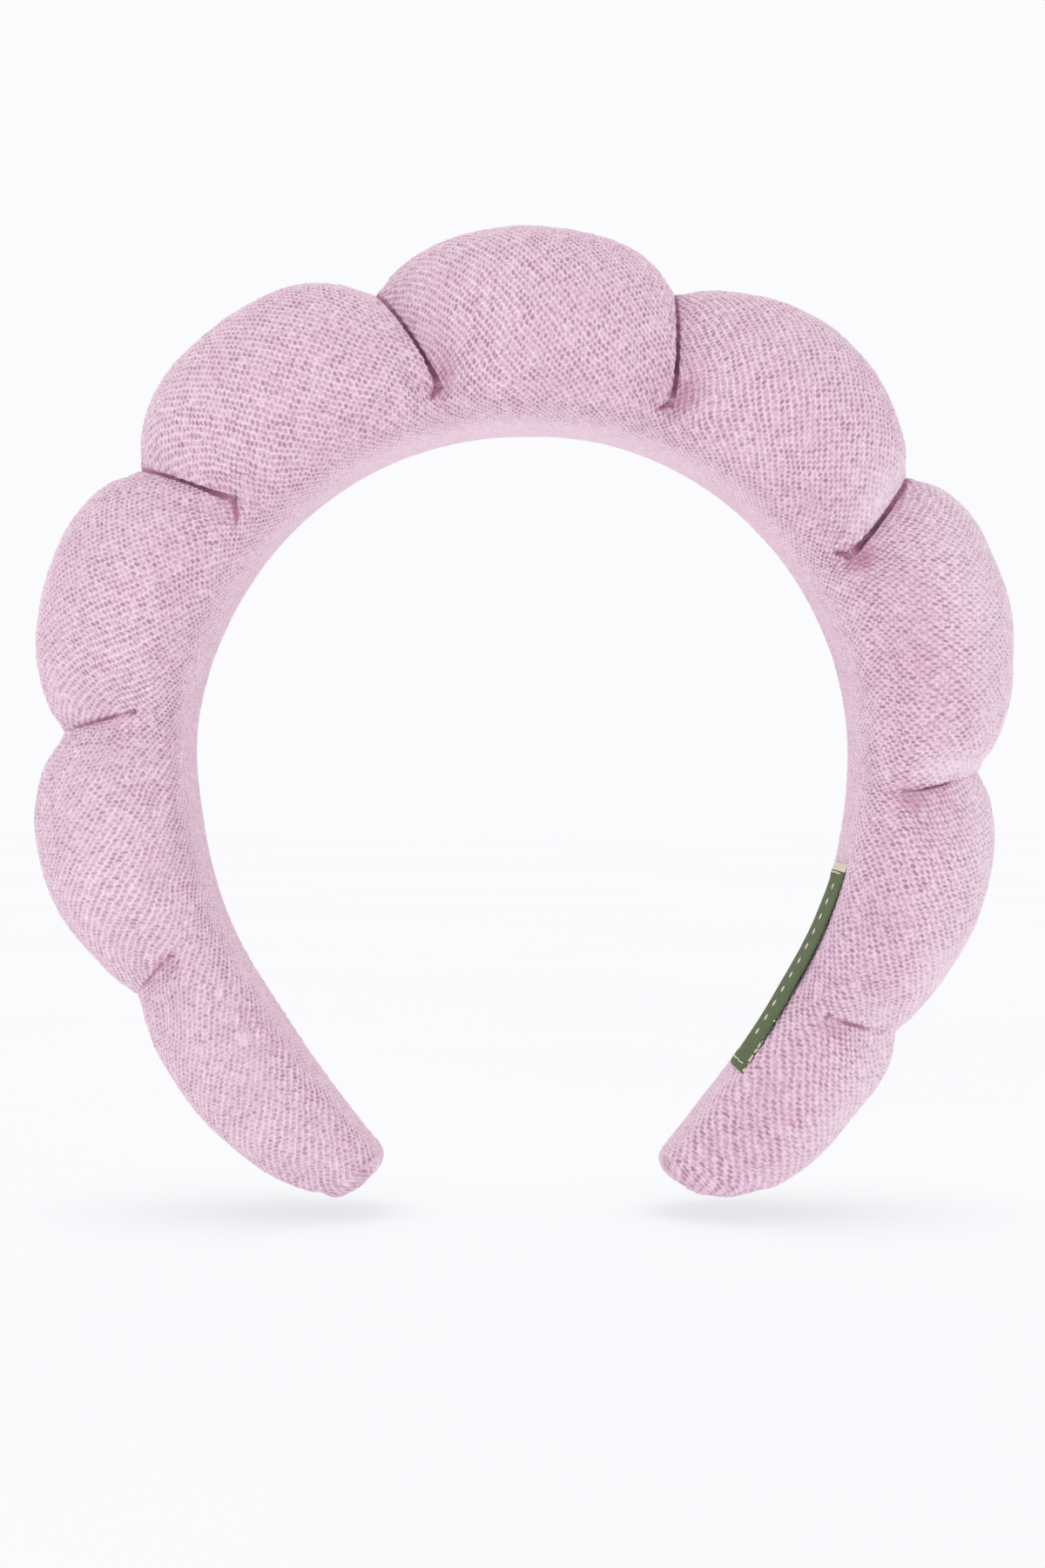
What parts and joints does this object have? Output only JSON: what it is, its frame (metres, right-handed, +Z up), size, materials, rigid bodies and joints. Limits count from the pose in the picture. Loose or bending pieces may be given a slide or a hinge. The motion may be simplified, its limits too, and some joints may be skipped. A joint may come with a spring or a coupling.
{
  "type": "spa headband",
  "caption": "Padded open-hoop spa headband: terry tube over a sponge-wrapped springy core, cinched into puffy lobes, with legs that spread to go over the head.",
  "frame": {"origin": "on the flat inner pad of the crown, the face that rests on the wearer's head", "axes": "+Z up through the crown and away from the head, legs towards -Z; +Y along the headband's width, towards its back; +X towards the leg with the label"},
  "size_m": [0.179, 0.0472, 0.181],
  "materials": {
    "terry": "matte",
    "sponge": "matte",
    "core_plastic": "satin",
    "thread": "matte",
    "label_weave": "matte",
    "label_thread": "matte"
  },
  "bodies": {
    "crown": {"cover_crown": "terry", "foam_crown": "sponge", "core_crown": "core_plastic", "seam_thread_crown": "thread", "cinch_thread_left_1": "thread", "cinch_thread_right_1": "thread"},
    "left_upper": {"cover_left_upper": "terry", "foam_left_upper": "sponge", "core_left_upper": "core_plastic", "seam_thread_left_upper": "thread", "cinch_thread_left_2": "thread"},
    "left_side": {"cover_left_side": "terry", "foam_left_side": "sponge", "core_left_side": "core_plastic", "seam_thread_left_side": "thread", "cinch_thread_left_3": "thread"},
    "left_lower": {"cover_left_lower": "terry", "foam_left_lower": "sponge", "core_left_lower": "core_plastic", "seam_thread_left_lower": "thread", "cinch_thread_left_4": "thread"},
    "left_tip": {"cover_left_tip": "terry", "foam_left_tip": "sponge", "core_left_tip": "core_plastic", "seam_thread_left_tip": "thread", "end_closure_left": "terry"},
    "right_upper": {"cover_right_upper": "terry", "foam_right_upper": "sponge", "core_right_upper": "core_plastic", "seam_thread_right_upper": "thread", "cinch_thread_right_2": "thread"},
    "right_side": {"cover_right_side": "terry", "foam_right_side": "sponge", "core_right_side": "core_plastic", "seam_thread_right_side": "thread", "cinch_thread_right_3": "thread"},
    "right_lower": {"cover_right_lower": "terry", "foam_right_lower": "sponge", "core_right_lower": "core_plastic", "seam_thread_right_lower": "thread", "cinch_thread_right_4": "thread", "label_upper": "label_weave", "label_stitch_upper": "label_thread"},
    "right_tip": {"cover_right_tip": "terry", "foam_right_tip": "sponge", "core_right_tip": "core_plastic", "seam_thread_right_tip": "thread", "end_closure_right": "terry", "label_lower": "label_weave", "label_stitch_lower": "label_thread"}
  },
  "joints": [
    {"name": "left_spread", "type": "hinge", "parent": "crown", "child": "left_upper", "pos_m": [-0.01993, 0, 0.00178], "axis": [0, 1, 0], "range_deg": [-2, 5], "stiffness_Nm_per_rad": 0.6},
    {"name": "left_side_flex", "type": "hinge", "parent": "left_upper", "child": "left_side", "pos_m": [-0.05232, 0, -0.02126], "axis": [0, 1, 0], "range_deg": [-2, 5]},
    {"name": "left_lower_flex", "type": "hinge", "parent": "left_side", "child": "left_lower", "pos_m": [-0.06568, 0, -0.05864], "axis": [0, 1, 0], "range_deg": [-2, 5]},
    {"name": "left_tip_flex", "type": "hinge", "parent": "left_lower", "child": "left_tip", "pos_m": [-0.05625, 0, -0.09834], "axis": [0, 1, 0], "range_deg": [-2, 5]},
    {"name": "right_spread", "type": "hinge", "parent": "crown", "child": "right_upper", "pos_m": [0.02126, 0, 0.00133], "axis": [0, -1, 0], "range_deg": [-2, 5], "stiffness_Nm_per_rad": 0.6},
    {"name": "right_side_flex", "type": "hinge", "parent": "right_upper", "child": "right_side", "pos_m": [0.05309, 0, -0.02231], "axis": [0, -1, 0], "range_deg": [-2, 5]},
    {"name": "right_lower_flex", "type": "hinge", "parent": "right_side", "child": "right_lower", "pos_m": [0.06573, 0, -0.06329], "axis": [0, -1, 0], "range_deg": [-2, 5]},
    {"name": "right_tip_flex", "type": "hinge", "parent": "right_lower", "child": "right_tip", "pos_m": [0.05288, 0, -0.10409], "axis": [0, -1, 0], "range_deg": [-2, 5]}
  ],
  "couplings": [
    {"joint": "left_side_flex", "follows": "left_spread", "ratio": 1},
    {"joint": "left_lower_flex", "follows": "left_spread", "ratio": 1},
    {"joint": "left_tip_flex", "follows": "left_spread", "ratio": 1},
    {"joint": "right_side_flex", "follows": "right_spread", "ratio": 1},
    {"joint": "right_lower_flex", "follows": "right_spread", "ratio": 1},
    {"joint": "right_tip_flex", "follows": "right_spread", "ratio": 1}
  ]
}
